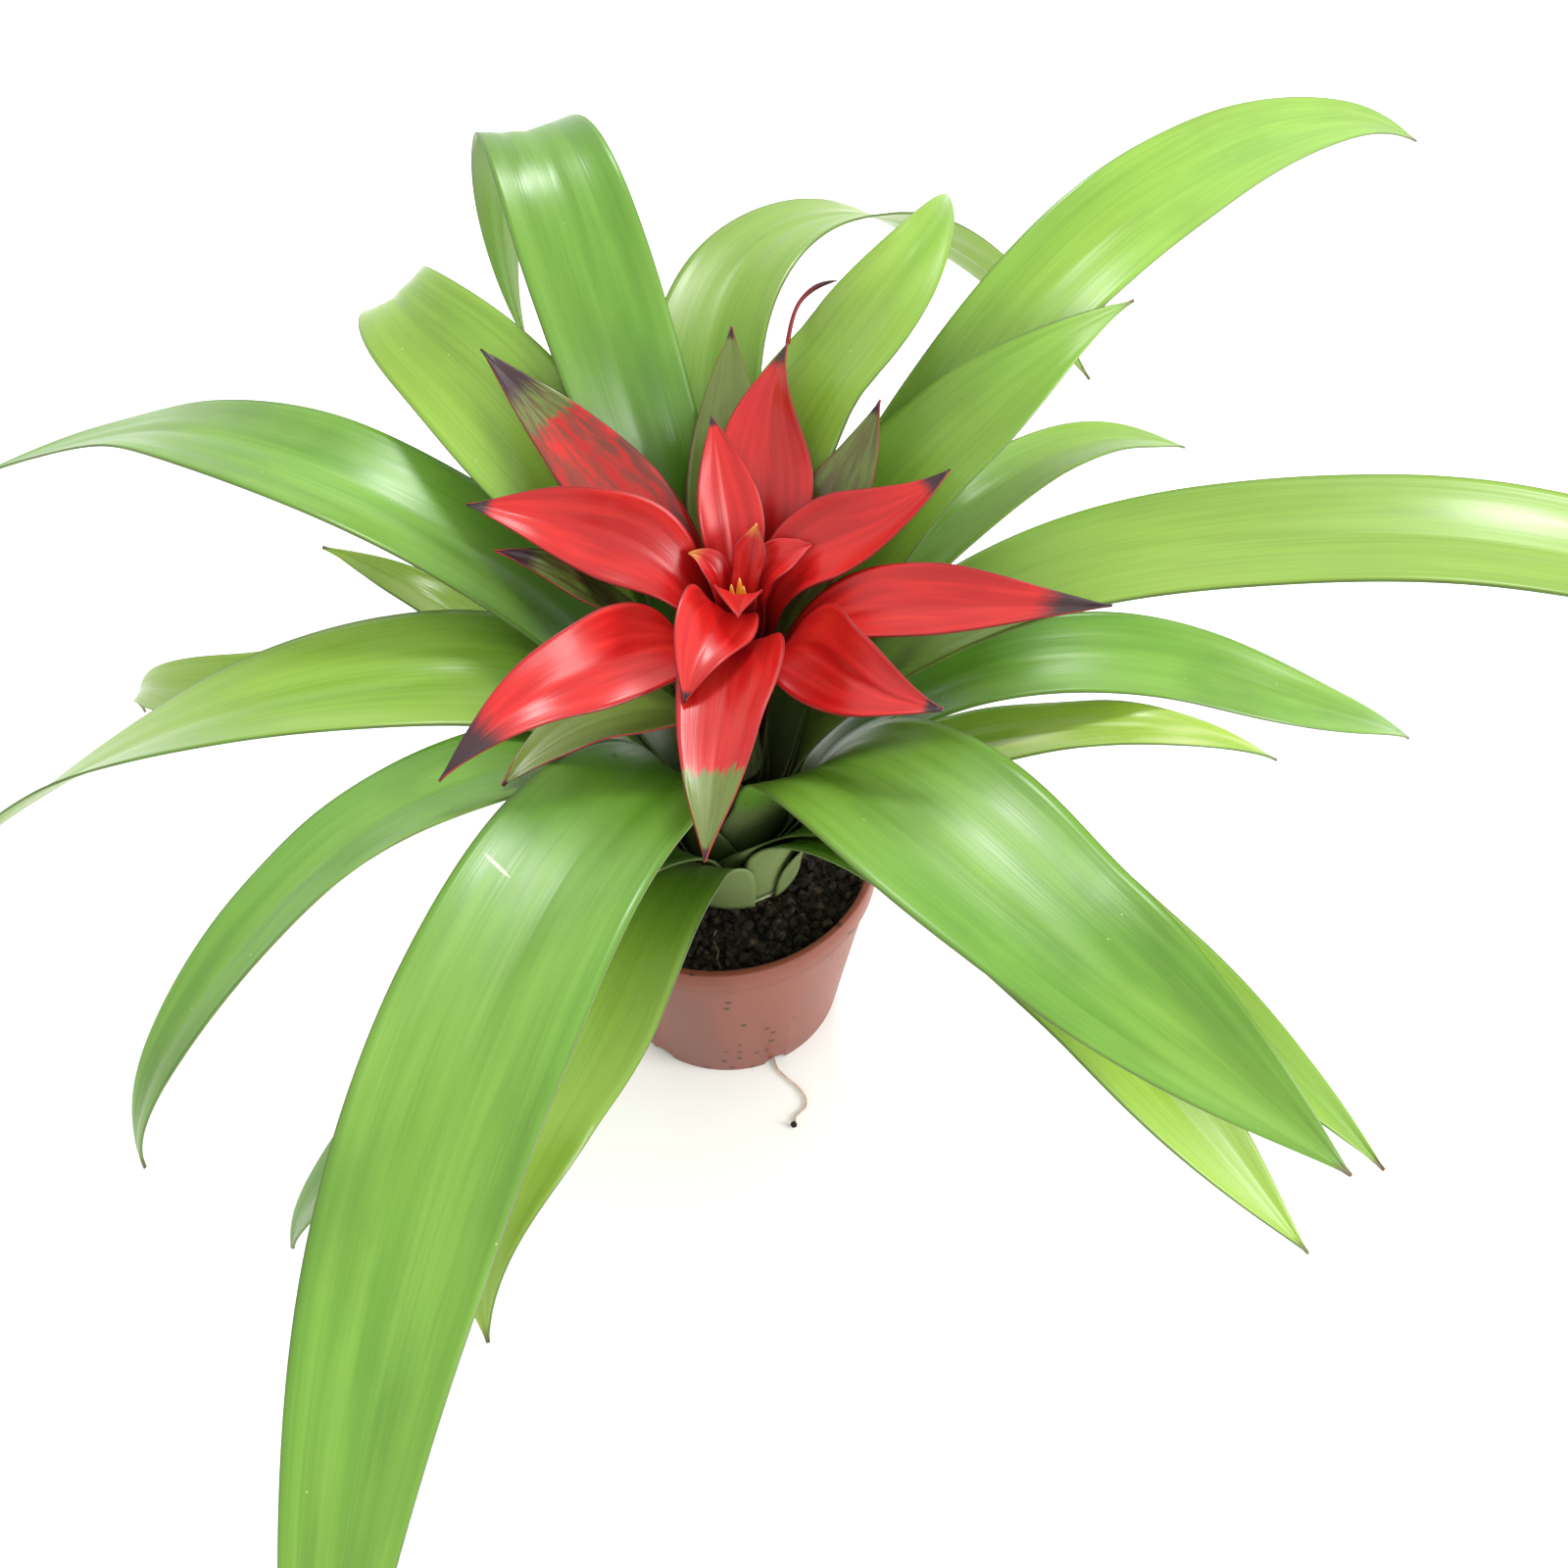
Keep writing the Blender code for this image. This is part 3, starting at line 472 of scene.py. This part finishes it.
# shadeAndDark is a dark red: painted shade in the hollows at the bracts' feet, and the colour of their veins.
bractColours = {
    "red": (0.400, 0.005, 0.005), "bright": (0.540, 0.012, 0.009), "shadeAndDark": (0.110, 0.002, 0.003),
    "under": (0.230, 0.006, 0.006), "dark": (0.028, 0.010, 0.014), "green": (0.115, 0.170, 0.030),
    "brown": (0.080, 0.034, 0.017), "gold": (0.560, 0.240, 0.040), "margin": (0.100, 0.006, 0.008),
}


def bractFinish(name, base, light):
    finish, tree, shader = newFinish(name, 0.36, 0.42)
    uv = addNode(tree, "UVMap", uv_map="bladeUV").outputs[0]
    across, share = acrossAndShare(tree)
    toneNode = addNode(tree, "Attribute", attribute_name="bladeTone")
    tones = addNode(tree, "SeparateColor", {0: toneNode.outputs["Color"]})
    dark, green, brown = tones.outputs[0], tones.outputs[1], tones.outputs[2]
    bands = streaks(tree, uv, (3.0, 0.3, 1), 2)
    veins = streaks(tree, uv, (22, 0.5, 1), 1, 2.5)
    ragged = streaks(tree, uv, (7, 1.6, 1), 3, 7.7)
    colour = blend(tree, remap(tree, bands, 0.35, 0.7), base, light)
    # Painted shade: the bract darkens towards its foot, in the hollows of the flower head.
    colour = blend(tree, remap(tree, share, 0.48, 0.12, (0, 0.93)), colour, bractColours["shadeAndDark"])
    patch = remap(tree, sums(tree, "ADD", green, sums(tree, "MULTIPLY", ragged, 0.35)), 0.62, 0.7)
    colour = blend(tree, patch, colour, bractColours["green"])
    smudge = sums(tree, "MULTIPLY", brown, remap(tree, sums(tree, "ADD", ragged, bands), 0.75, 1.2))
    colour = blend(tree, smudge, colour, bractColours["brown"])
    tip = remap(tree, sums(tree, "ADD", dark, sums(tree, "MULTIPLY", ragged, 0.4)), 0.45, 0.85)
    colour = blend(tree, tip, colour, bractColours["dark"])
    colour = blend(tree, toneNode.outputs["Alpha"], colour, bractColours["gold"])
    colour = blend(tree, remap(tree, veins, 0.4, 0.75, (0, 0.07)), colour, bractColours["shadeAndDark"])
    edge = remap(tree, sums(tree, "ABSOLUTE", across), 0.95, 0.99, (0, 0.6))
    colour = blend(tree, edge, colour, bractColours["margin"])
    feed(tree, shader.inputs["Base Color"], colour)
    feed(tree, shader.inputs["Roughness"], remap(tree, bands, 0.3, 0.7, (0.30, 0.36)))
    roughen(tree, shader, sums(tree, "ADD", veins, bands), 0.16, 0.2)
    return finish


bractTop = bractFinish("bractTop", bractColours["red"], bractColours["bright"])
bractUnder = bractFinish("bractUnder", bractColours["under"], bractColours["red"])
# The bract rim turns to the painted shade colour towards its foot.
bractEdge = edgeFinish("bractEdge", bractColours["margin"], bractColours["red"], bractColours["shadeAndDark"])

bractRings = ringsOf(bractRows)
for number, row in enumerate(bractRows):
    look = {"darkTip": 0.05, "green": 2, "brown": 0, "goldTip": 0} | bractTones.get(row[0], {})

    def bractTone(across, share, look=look, seed=number * bractSeedStep):
        patch = noise.noise(Vector((across * 1.4, share * 6, seed)))
        dark = ease(1 - 2 * look["darkTip"] - 0.01, 1, share) if look["darkTip"] else 0
        green = 0.5 + 4 * (share - look["green"]) if look["green"] else 1
        gold = ease(1 - look["goldTip"] - 0.01, 1, share) if look["goldTip"] else 0
        return [min(max(value, 0), 1) for value in (dark, green, look["brown"] + 0.3 * patch, gold)]

    reachOf = sheathReach(bractRows, bractRings, number, bractForm)
    finishes = (bractTop, bractUnder, bractEdge)
    seed = number * bractSeedStep
    ring, count = bractRings[number], max(bractRings) + 1
    piece = makeBlade(row, bractForm, ring, count, reachOf, seed, bractTone, finishes)
print("bracts", len(bractRows))

# The dried, curled tip of the tall back bract: points in metres, and how thick it is at each.
curl = {
    "points": (
        (0.0224, 0.0526, 0.2022), (0.0237, 0.0585, 0.2073), (0.0270, 0.0620, 0.2102),
        (0.0312, 0.0638, 0.2117), (0.0351, 0.0641, 0.2119),
    ),
    "radii": (0.9, 0.7, 0.9, 1.2, 0.1), "thick": 0.7,
    "colours": ((0.160, 0.006, 0.008), (0.035, 0.006, 0.008)),
}


def makeCurl():
    line = bpy.data.curves.new("bractTipCurl", "CURVE")
    line.dimensions = "3D"
    line.bevel_depth = curl["thick"] * mm
    line.bevel_resolution = 3
    line.use_fill_caps = True
    spline = line.splines.new("NURBS")
    spline.points.add(len(curl["points"]) - 1)
    for point, place, radius in zip(spline.points, curl["points"], curl["radii"]):
        point.co = (*place, 1)
        point.radius = radius
    spline.order_u = 4
    spline.use_endpoint_u = True
    piece = bpy.data.objects.new("bractTipCurl", line)
    scene.collection.objects.link(piece)
    finish, tree, shader = newFinish("bractCurlSkin", 0.4, 0.35)
    coordinates = addNode(tree, "TexCoord").outputs["Object"]
    fade = remap(tree, addNode(tree, "SeparateXYZ", {0: coordinates}).outputs[0], 0.024, 0.033)
    feed(tree, shader.inputs["Base Color"], blend(tree, fade, *curl["colours"]))
    line.materials.append(finish)
    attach(piece, "root")


makeCurl()
print("curl")


def finishPiece(name, bm, finish, node, sharp=35):
    mesh = bpy.data.meshes.new(name)
    bm.to_mesh(mesh)
    bm.free()
    mesh.materials.append(finish)
    mesh.shade_smooth()
    mesh.set_sharp_from_angle(angle=math.radians(sharp))
    piece = bpy.data.objects.new(name, mesh)
    scene.collection.objects.link(piece)
    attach(piece, "root")
    if node:
        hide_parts(node)
    return piece


def lathe(profile, sides):  # radius and height in metres, from axis to axis
    bm = bmesh.new()
    verts = [bm.verts.new((radius, 0, height)) for radius, height in profile]
    edges = [bm.edges.new(pair) for pair in zip(verts, verts[1:])]
    bmesh.ops.spin(
        bm, geom=verts + edges, cent=(0, 0, 0), axis=(0, 0, 1), angle=math.tau, steps=sides, use_merge=True
    )
    bmesh.ops.remove_doubles(bm, verts=bm.verts, dist=1e-6)
    bmesh.ops.recalc_face_normals(bm, faces=bm.faces)
    return bm


# Stem: foot in the peat, crown, stalk and the seat of the flower head.
stem = {"colours": ((0.16, 0.22, 0.08), (0.34, 0.40, 0.20)), "fibres": (900, 900, 60)}


def refinish(name, finish):  # gives a CAD solid that stays in view its finish
    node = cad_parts[name]
    node.data.materials.clear()
    node.data.materials.append(finish)


def stemFinish():
    finish, tree, shader = newFinish("stemSkin", 0.6)
    coordinates = addNode(tree, "TexCoord").outputs["Object"]
    fibres = streaks(tree, coordinates, stem["fibres"], 3)
    colour = blend(tree, remap(tree, fibres, 0.3, 0.7), *stem["colours"])
    feed(tree, shader.inputs["Base Color"], colour)
    roughen(tree, shader, fibres, 0.4, 0.4)
    return finish


refinish("stem", stemFinish())
print("stem")

# Flower buds, side by side on top of the stem.
bud = {
    "count": 3, "higher": 3.5, "wider": 1.12,  # than the CAD solid, in mm and in times
    "foot": (0.50, 0.07, 0.01), "top": (0.72, 0.30, 0.02), "tip": (0.80, 0.58, 0.20),
    "fibre": (0.55, 0.14, 0.01),
}


def budFinish():
    finish, tree, shader = newFinish("budSkin", 0.4)
    coordinates = addNode(tree, "TexCoord").outputs["Object"]
    height = addNode(tree, "SeparateXYZ", {0: coordinates}).outputs[2]
    fibres = streaks(tree, coordinates, (2500, 2500, 300), 2)
    low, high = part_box("flower_bud_1")
    colour = blend(tree, remap(tree, height, low[2] + 0.004, high[2] + 0.001), bud["foot"], bud["top"])
    colour = blend(tree, remap(tree, height, high[2] + 0.0018, high[2] + 0.0032), colour, bud["tip"])
    colour = blend(tree, remap(tree, fibres, 0.4, 0.8, (0, 0.4)), colour, bud["fibre"])
    feed(tree, shader.inputs["Base Color"], colour)
    roughen(tree, shader, fibres, 0.3, 0.2)
    return finish


budSkin = budFinish()
for number in range(1, bud["count"] + 1):
    low, high = (Vector(corner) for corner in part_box(f"flower_bud_{number}"))
    high.z += bud["higher"] * mm
    centre, size = (low + high) / 2, high - low
    bm = bmesh.new()
    bmesh.ops.create_uvsphere(bm, u_segments=24, v_segments=20, radius=0.5)
    for vert in bm.verts:
        x, y, z = vert.co
        around = math.atan2(y, x)
        ridge = 1 + 0.07 * math.cos(3 * around + number)
        taper = 1 - 0.5 * ease(-0.1, 0.5, z)
        girth = taper * ridge * bud["wider"]
        vert.co = centre + Vector((x * size.x * girth, y * size.y * girth, z * size.z))
    finishPiece(f"flower_bud_{number}_fine", bm, budSkin, f"flower_bud_{number}")
print("buds")

# Pot: thin-walled, with a rim band and drain notches in its foot.
pot = {
    "height": 70, "rim": 45, "base": 34, "wall": 1.0, "floor": 1.2, "bandHeight": 9, "bandStep": 1.0,
    "edge": 0.3, "sides": 180, "notches": 6, "notchRadius": 3.5, "notchHeading": 294,
    "colour": (0.165, 0.045, 0.029), "light": (0.225, 0.066, 0.043), "lip": (0.170, 0.035, 0.020),
    "dirt": (0.022, 0.012, 0.008),
}


def potFinish():
    finish, tree, shader = newFinish("potPlastic", 0.42, 0.3)
    coordinates = addNode(tree, "TexCoord").outputs["Object"]
    parts = addNode(tree, "SeparateXYZ", {0: coordinates})
    drag = streaks(tree, coordinates, (60, 60, 9), 3)
    grain = streaks(tree, coordinates, (1500, 1500, 1500), 2)
    colour = blend(tree, remap(tree, drag, 0.3, 0.7), pot["colour"], pot["light"])
    height = parts.outputs[2]
    lip = remap(tree, height, (pot["height"] - 0.6) * mm, (pot["height"] - 0.2) * mm, (0, 0.7))
    colour = blend(tree, lip, colour, pot["lip"])
    spots = addNode(tree, "TexVoronoi", {"Vector": coordinates, "Scale": 210, "Randomness": 1}, feature="F1")
    cells = streaks(tree, coordinates, (35, 35, 35), 1, 3.1)
    spot = remap(tree, spots.outputs["Distance"], 0.24, 0.15)
    spot = sums(tree, "MULTIPLY", spot, remap(tree, cells, 0.48, 0.55))
    colour = blend(tree, sums(tree, "MULTIPLY", spot, 0.9), colour, pot["dirt"])
    feed(tree, shader.inputs["Base Color"], colour)
    feed(tree, shader.inputs["Roughness"], remap(tree, drag, 0.2, 0.8, (0.38, 0.5)))
    roughen(tree, shader, grain, 0.12, 0.2)
    return finish


def makePot():
    neck, edge = pot["rim"] - pot["bandStep"], pot["edge"]
    bandFoot = pot["height"] - pot["bandHeight"]
    outer = [
        (0, 0), (pot["base"] - 0.6, 0), (pot["base"] - 0.1, 0.15), (pot["base"] + 0.05, 0.6),
        (neck - 0.05, bandFoot - edge), (neck, bandFoot - 0.05), (pot["rim"] - 0.25, bandFoot),
        (pot["rim"], bandFoot + edge), (pot["rim"], pot["height"] - edge), (pot["rim"] - edge, pot["height"]),
        (neck - pot["wall"] + edge, pot["height"]), (neck - pot["wall"], pot["height"] - edge),
        (neck - pot["wall"], bandFoot), (pot["base"] - pot["wall"], pot["floor"]), (0, pot["floor"]),
    ]
    bm = lathe([(radius * mm, height * mm) for radius, height in outer], pot["sides"])
    piece = finishPiece("pot_fine", bm, potFinish(), "pot", sharp=50)
    notches = bmesh.new()
    for number in range(pot["notches"]):
        heading = math.radians(pot["notchHeading"] + 360 / pot["notches"] * number)
        place = (
            Matrix.Rotation(heading, 4, "Z")
            @ Matrix.Translation((pot["base"] * mm, 0, 0))
            @ Matrix.Rotation(math.radians(90), 4, "Y")
        )
        radius = pot["notchRadius"] * mm
        bmesh.ops.create_cone(
            notches, cap_ends=True, segments=32, radius1=radius, radius2=radius, depth=3 * radius,
            matrix=place,
        )
    cutter = finishPiece("notchCutter", notches, piece.data.materials[0], None)
    cut = piece.modifiers.new("Drain notches", "BOOLEAN")
    cut.object = cutter
    cut.operation = "DIFFERENCE"
    cut.solver = "EXACT"
    whole = bpy.data.meshes.new_from_object(piece.evaluated_get(bpy.context.evaluated_depsgraph_get()))
    piece.modifiers.clear()
    piece.data = whole
    bpy.data.objects.remove(cutter)
    whole.set_sharp_from_angle(angle=math.radians(50))


makePot()
print("pot")

# Peat: a bed with a lumpy top, and loose crumbs on it.
peat = {
    "edge": 42.7, "foot": 32.6, "shoulder": 61, "low": 1.5, "top": 63, "rings": 61, "sides": 200,
    "lump": 1.2, "lumpSpacing": 6, "fine": 0.5, "crumbs": 1500, "lumps": 420,
    "crumbRadius": (0.4, 0.9), "lumpRadius": (1.0, 1.8),
    "colours": ((0.006, 0.004, 0.003), (0.022, 0.015, 0.010), (0.090, 0.058, 0.038)),
}


def peatFinish():
    finish, tree, shader = newFinish("peatCrumb", 0.9, 0.3)
    coordinates = addNode(tree, "TexCoord").outputs["Object"]
    clumps = streaks(tree, coordinates, (420, 420, 420), 3)
    grit = streaks(tree, coordinates, (2600, 2600, 2600), 3, 1.3)
    colour = blend(tree, remap(tree, clumps, 0.35, 0.65), peat["colours"][0], peat["colours"][1])
    fibres = streaks(tree, coordinates, (260, 260, 260), 2, 8)
    colour = blend(tree, remap(tree, fibres, 0.52, 0.68), colour, peat["colours"][2])
    colour = blend(tree, remap(tree, grit, 0.35, 0.7, (0, 0.6)), colour, peat["colours"][0])
    feed(tree, shader.inputs["Base Color"], colour)
    roughen(tree, shader, grit, 0.9, 0.6)
    return finish


def peatHeight(x, y):
    lump = noise.noise(Vector((x, y, 0)) / (peat["lumpSpacing"] * mm))
    crumbly = noise.noise(Vector((x, y, 3)) / (1.6 * mm)) + 0.5 * noise.noise(Vector((x, y, 7)) / (0.8 * mm))
    return (peat["top"] + peat["lump"] * lump + peat["fine"] * crumbly) * mm


def makePeatBed(finish):
    bottom = [(0, peat["low"]), (peat["foot"], peat["low"]), (peat["edge"] - 0.3, peat["shoulder"])]
    rings = [(peat["edge"] - ring * 0.7, peat["top"]) for ring in range(peat["rings"])]
    profile = bottom + rings + [(0, peat["top"])]
    bm = lathe([(radius * mm, height * mm) for radius, height in profile], peat["sides"])
    for vert in bm.verts:
        if vert.co.z > (peat["top"] - 0.01) * mm:
            vert.co.z = peatHeight(vert.co.x, vert.co.y)
    finishPiece("soil_fine", bm, finish, "soil", sharp=180)


def makeCrumbs(finish):
    ball = bmesh.new()
    bmesh.ops.create_icosphere(ball, subdivisions=2, radius=1)
    corners = [vert.co.copy() for vert in ball.verts]
    sides = [[vert.index for vert in face.verts] for face in ball.faces]
    ball.free()
    verts, faces = [], []
    for number in range(peat["crumbs"] + peat["lumps"]):
        large = number >= peat["crumbs"]
        radius = random.uniform(*peat["lumpRadius"]) if large else random.uniform(*peat["crumbRadius"])
        spread = (peat["edge"] - radius - 0.4) * math.sqrt(random.uniform(0.16, 1))
        heading = random.uniform(0, math.tau)
        x, y = spread * math.cos(heading) * mm, spread * math.sin(heading) * mm
        lie = peatHeight(x, y) + radius * random.uniform(0.2, 0.9) * mm
        place = (
            Matrix.Translation((x, y, lie))
            @ Matrix.Rotation(random.uniform(0, math.tau), 4, Vector((random.random(), 1, random.random())))
            @ Matrix.Diagonal((random.uniform(0.7, 1.3), random.uniform(0.7, 1.2), random.uniform(0.6, 1), 1))
        )
        faces += [[len(verts) + corner for corner in side] for side in sides]
        for corner in corners:
            bumped = corner + Vector(noise.noise_vector(corner * 1.1 + Vector((x, y, lie)) / mm)) * 0.45
            verts.append(place @ (bumped * radius * mm))
    mesh = bpy.data.meshes.new("crumbShapes")
    mesh.from_pydata(verts, [], faces)
    bm = bmesh.new()
    bm.from_mesh(mesh)
    bpy.data.meshes.remove(mesh)
    finishPiece("peatCrumbs", bm, finish, None, sharp=50)


peatSkin = peatFinish()
makePeatBed(peatSkin)
makeCrumbs(peatSkin)
print("peat")

# Roots: one out of a drain notch, one on the peat, both drawn on their CAD solids.
rootThreads = {
    "escaped_root": {"light": (0.640, 0.500, 0.410), "dark": (0.460, 0.330, 0.250)},
    "root_thread": {"light": (0.130, 0.095, 0.065), "dark": (0.070, 0.048, 0.032)},
}


def rootFinish(name, light, dark):
    finish, tree, shader = newFinish(name, 0.7)
    coordinates = addNode(tree, "TexCoord").outputs["Object"]
    mottle = streaks(tree, coordinates, (600, 600, 600), 3)
    feed(tree, shader.inputs["Base Color"], blend(tree, remap(tree, mottle, 0.35, 0.7), light, dark))
    roughen(tree, shader, mottle, 0.4, 0.2)
    return finish


for name, colours in rootThreads.items():
    refinish(name, rootFinish(name + "Skin", colours["light"], colours["dark"]))
refinish("peat_crumb", peatSkin)
print("roots")

# Floor, light and camera.
studio = {
    "floor": 6.0, "floorColours": ((0.91, 0.91, 0.91), (0.93, 0.93, 0.93)), "sky": 1.35, "aim": (0, 0, 0.12),
    "lights": {  # place and size in metres, power in watts
        "overheadSoftbox": ((0.15, 0.65, 1.2), (0.35, 0.22), 9),
        "rightSoftbox": ((1.1, -0.45, 0.55), (0.6, 0.6), 13),
    },
}


def makeFloor():
    bm = bmesh.new()
    bmesh.ops.create_grid(bm, x_segments=4, y_segments=4, size=studio["floor"] / 2)
    mesh = bpy.data.meshes.new("floor")
    bm.to_mesh(mesh)
    bm.free()
    finish, tree, shader = newFinish("floorPaper", 0.8)
    coordinates = addNode(tree, "TexCoord").outputs["Object"]
    clouds = remap(tree, streaks(tree, coordinates, (3, 3, 3)), 0.3, 0.7)
    feed(tree, shader.inputs["Base Color"], blend(tree, clouds, *studio["floorColours"]))
    mesh.materials.append(finish)
    floor = bpy.data.objects.new("floor", mesh)
    floor.location.z = -0.0001
    scene.collection.objects.link(floor)


def areaLight(name, place, size, power):
    lamp = bpy.data.lights.new(name, "AREA")
    lamp.shape = "RECTANGLE"
    lamp.size, lamp.size_y = size
    lamp.energy = power
    light = bpy.data.objects.new(name, lamp)
    light.location = place
    aim = Vector(studio["aim"]) - Vector(place)
    light.rotation_euler = aim.to_track_quat("-Z", "Y").to_euler()
    scene.collection.objects.link(light)


makeFloor()
for name, (place, size, power) in studio["lights"].items():
    areaLight(name, place, size, power)
world = bpy.data.worlds.new("studio")
world.use_nodes = True
world.node_tree.nodes["Background"].inputs[0].default_value = (1, 1, 1, 1)
world.node_tree.nodes["Background"].inputs[1].default_value = studio["sky"]
scene.world = world
scene.view_settings.view_transform = "Standard"

view = {  # metres, degrees, mm
    "place": (0.0187, -0.2913, 0.4533), "down": 50.8, "roll": -1.5, "lens": 38.61, "sensor": 36,
}
lens = bpy.data.cameras.new("camera")
lens.lens = view["lens"]
lens.sensor_width = view["sensor"]
lens.clip_start = 0.01
camera = bpy.data.objects.new("camera", lens)
camera.matrix_world = (
    Matrix.Translation(view["place"])
    @ Matrix.Rotation(math.radians(90 - view["down"]), 4, "X")
    @ Matrix.Rotation(math.radians(view["roll"]), 4, "Z")
)
scene.collection.objects.link(camera)
scene.camera = camera
print("stage")
